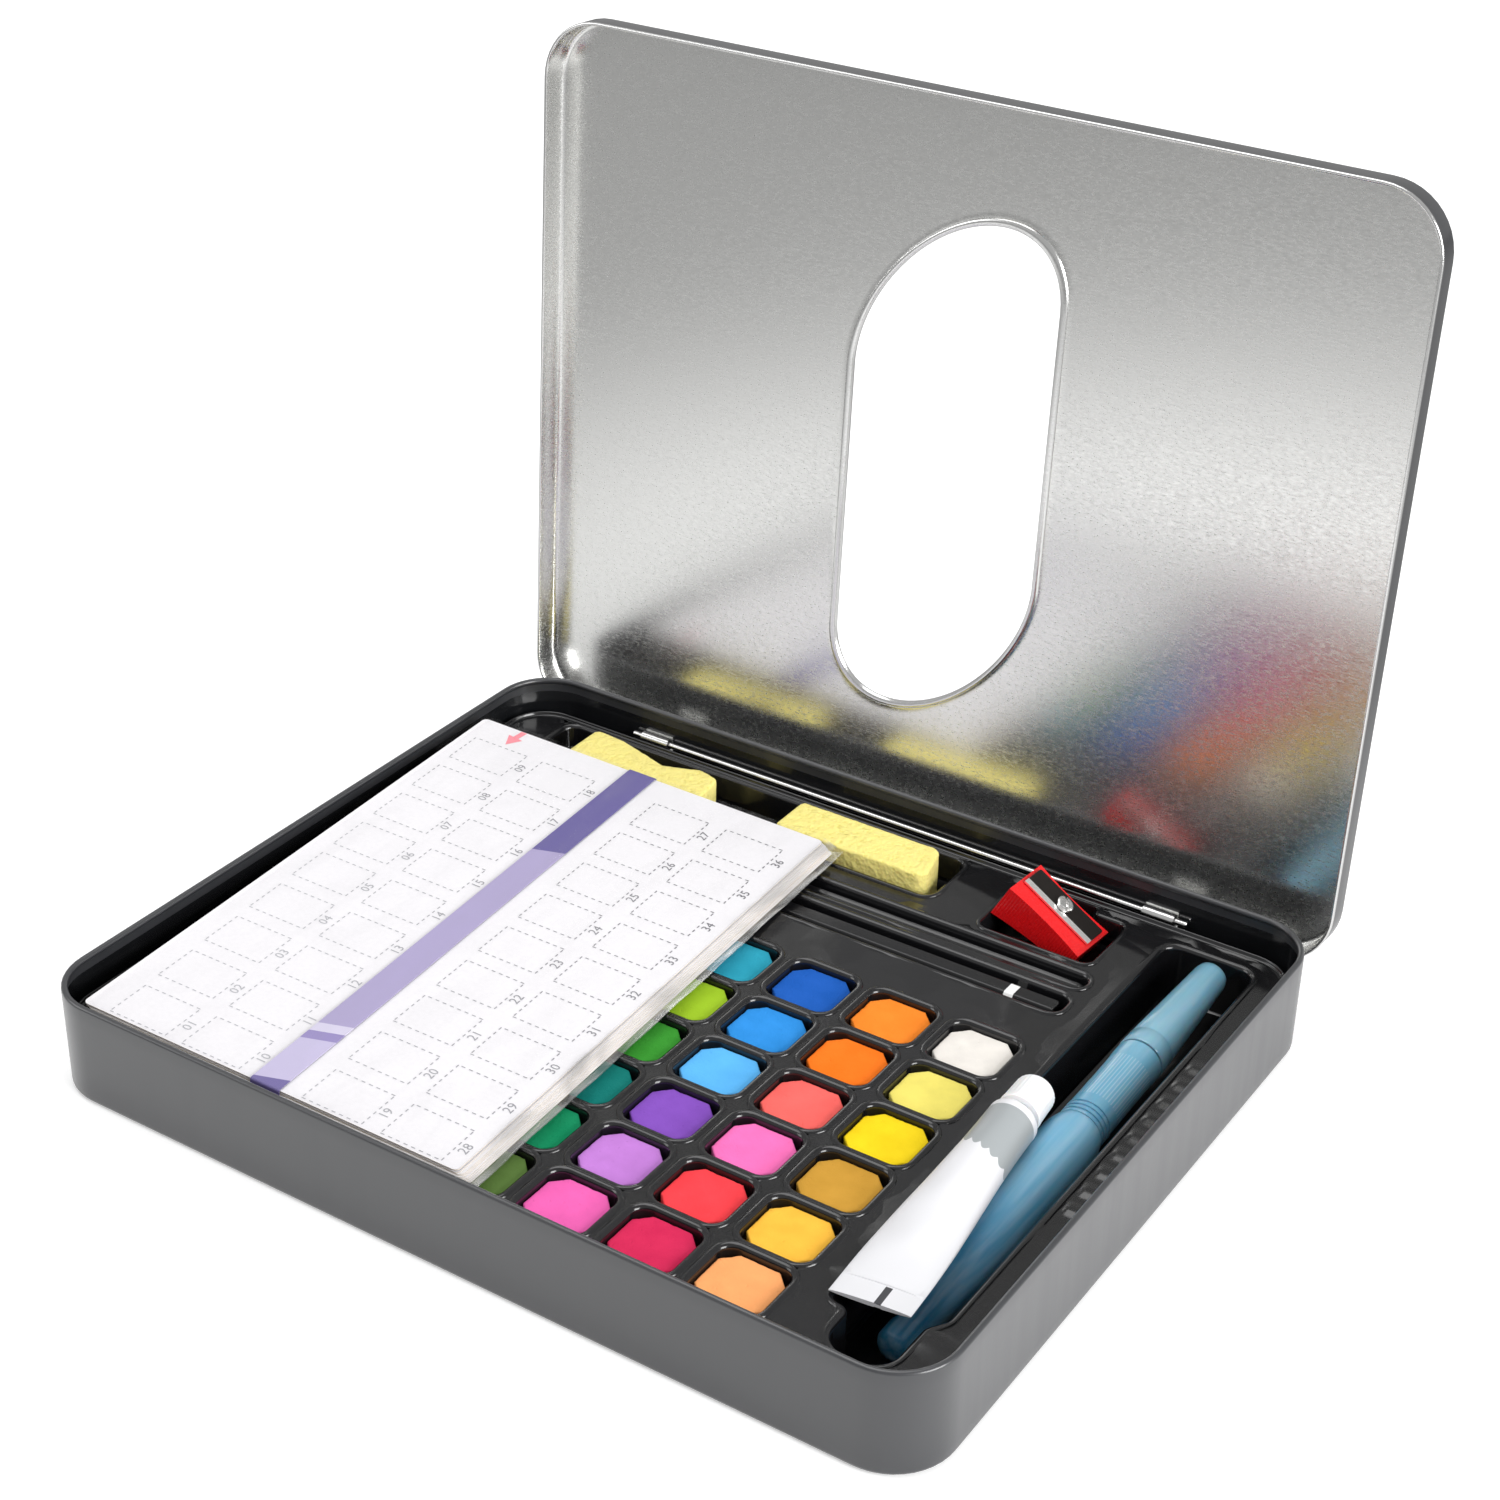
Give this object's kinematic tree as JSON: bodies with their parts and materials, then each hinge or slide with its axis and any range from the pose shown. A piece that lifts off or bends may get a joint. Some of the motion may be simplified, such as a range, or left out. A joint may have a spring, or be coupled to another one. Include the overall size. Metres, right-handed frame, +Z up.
{
  "type": "watercolour paint set",
  "caption": "Flat hinged tin with a windowed lid, lifted open, and a formed tray of paint cakes with water brush, paint tube, pencil, sharpener, sponges and sleeved practice cards",
  "frame": {"origin": "middle of the base tin's underside, on the surface that it stands on", "axes": "X along the hinge, Y from the free edge towards the hinge, Z up"},
  "size_m": [0.2522, 0.2215, 0.2195],
  "materials": {
    "black_tin": "satin black lacquer on tinplate",
    "bright_wire": "bright plated",
    "bare_tin": "bare tinplate inside, finely streaked; black lacquer outside",
    "black_plastic": "formed sheet, half gloss",
    "cake_a1": "dry watercolour, white",
    "cake_a2": "dry watercolour, lemon",
    "cake_a3": "dry watercolour, yellow",
    "cake_a4": "dry watercolour, ochre",
    "cake_a5": "dry watercolour, deep yellow",
    "cake_a6": "dry watercolour, peach",
    "cake_b1": "dry watercolour, orange",
    "cake_b2": "dry watercolour, deep orange",
    "cake_b3": "dry watercolour, coral",
    "cake_b4": "dry watercolour, pink",
    "cake_b5": "dry watercolour, red",
    "cake_b6": "dry watercolour, crimson",
    "cake_c1": "dry watercolour, ultramarine",
    "cake_c2": "dry watercolour, blue",
    "cake_c3": "dry watercolour, sky blue",
    "cake_c4": "dry watercolour, violet",
    "cake_c5": "dry watercolour, mauve",
    "cake_c6": "dry watercolour, magenta",
    "cake_d1": "dry watercolour, teal blue",
    "cake_d2": "dry watercolour, yellow green",
    "cake_d3": "dry watercolour, leaf green",
    "cake_d4": "dry watercolour, blue green",
    "cake_d5": "dry watercolour, green",
    "cake_d6": "dry watercolour, olive",
    "cake_e1": null,
    "cake_e2": null,
    "cake_e3": null,
    "cake_e4": null,
    "cake_e5": null,
    "cake_e6": null,
    "cake_f1": null,
    "cake_f2": null,
    "cake_f3": null,
    "cake_f4": null,
    "cake_f5": null,
    "cake_f6": null,
    "black_lacquer": "gloss black lacquer on a wooden casing",
    "graphite": "graphite lead",
    "sponge": "open-cell foam",
    "card": "white watercolour paper card",
    "band_paper": "printed paper band",
    "clear_film": "clear polypropylene film",
    "red_plastic": "glossy moulded red",
    "blade_steel": "ground steel with a dark oxide",
    "tube_white": "white lacquer on a soft aluminium tube",
    "cap_white": "white moulded",
    "brush_blue": "translucent blue",
    "brush_grip_blue": "translucent blue",
    "bristle": "nylon hair",
    "brush_cap_blue": "translucent pale blue"
  },
  "bodies": {
    "base": {"base_tin": "black_tin", "hinge_wire": "bright_wire"},
    "lid": {"lid_tin": "bare_tin"},
    "tray": {"tray_side": "black_plastic", "tray_back": "black_plastic", "tray_wells": "black_plastic", "tray_palette": "black_plastic", "cake_a1": "cake_a1", "cake_a2": "cake_a2", "cake_a3": "cake_a3", "cake_a4": "cake_a4", "cake_a5": "cake_a5", "cake_a6": "cake_a6", "cake_b1": "cake_b1", "cake_b2": "cake_b2", "cake_b3": "cake_b3", "cake_b4": "cake_b4", "cake_b5": "cake_b5", "cake_b6": "cake_b6", "cake_c1": "cake_c1", "cake_c2": "cake_c2", "cake_c3": "cake_c3", "cake_c4": "cake_c4", "cake_c5": "cake_c5", "cake_c6": "cake_c6", "cake_d1": "cake_d1", "cake_d2": "cake_d2", "cake_d3": "cake_d3", "cake_d4": "cake_d4", "cake_d5": "cake_d5", "cake_d6": "cake_d6", "cake_e1": "cake_e1", "cake_e2": "cake_e2", "cake_e3": "cake_e3", "cake_e4": "cake_e4", "cake_e5": "cake_e5", "cake_e6": "cake_e6", "cake_f1": "cake_f1", "cake_f2": "cake_f2", "cake_f3": "cake_f3", "cake_f4": "cake_f4", "cake_f5": "cake_f5", "cake_f6": "cake_f6"},
    "card_pack": {"card_stack": "card", "top_card": "card", "card_band": "band_paper", "card_sleeve": "clear_film"},
    "sponge_a": {"sponge_left": "sponge"},
    "sponge_b": {"sponge_right": "sponge"},
    "pencil": {"pencil_casing": "black_lacquer", "pencil_lead": "graphite"},
    "sharpener": {"sharpener_body": "red_plastic", "sharpener_blade": "blade_steel", "sharpener_screw": "bright_wire"},
    "water_brush": {"brush_barrel": "brush_blue", "brush_grip": "brush_grip_blue", "brush_bristles": "bristle"},
    "water_brush_cap": {"brush_cap": "brush_cap_blue"},
    "tube": {"tube_body": "tube_white"},
    "tube_top": {"tube_cap": "cap_white"}
  },
  "joints": [
    {"name": "lid_hinge", "type": "hinge", "parent": "base", "child": "lid", "pos_m": [0, 0.0992, 0.0186], "axis": [-1, 0, 0], "range_deg": [-93, 0]},
    {"name": "tray_lift", "type": "slide", "parent": "base", "child": "tray", "axis": [0, 0, 1], "range_m": [0, 0.04]},
    {"name": "card_pack_lift", "type": "slide", "parent": "tray", "child": "card_pack", "axis": [0, 0, 1], "range_m": [0, 0.06]},
    {"name": "sponge_left_lift", "type": "slide", "parent": "tray", "child": "sponge_a", "axis": [0, 0, 1], "range_m": [0, 0.03]},
    {"name": "sponge_right_lift", "type": "slide", "parent": "tray", "child": "sponge_b", "axis": [0, 0, 1], "range_m": [0, 0.03]},
    {"name": "pencil_lift", "type": "slide", "parent": "tray", "child": "pencil", "axis": [0, 0, 1], "range_m": [0, 0.03]},
    {"name": "sharpener_lift", "type": "slide", "parent": "tray", "child": "sharpener", "axis": [0, 0, 1], "range_m": [0, 0.03]},
    {"name": "water_brush_lift", "type": "slide", "parent": "tray", "child": "water_brush", "axis": [0, 0, 1], "range_m": [0, 0.03]},
    {"name": "water_brush_cap_turn", "type": "hinge", "parent": "water_brush", "child": "water_brush_cap", "pos_m": [0.1019, 0.0879, 0.0152], "axis": [0.0056, 0.9985, 0.055], "range_deg": [-180, 180]},
    {"name": "tube_lift", "type": "slide", "parent": "water_brush", "child": "tube", "axis": [0, 0, 1], "range_m": [0, 0.03]},
    {"name": "tube_cap_turn", "type": "hinge", "parent": "tube", "child": "tube_top", "pos_m": [0.09235, 0.0018, 0.0217], "axis": [-0.0555, 0.998, 0.03], "range_deg": [-180, 180]}
  ],
  "couplings": [
    {"joint": "pencil_lift", "follows": "card_pack_lift", "ratio": 0.5}
  ]
}
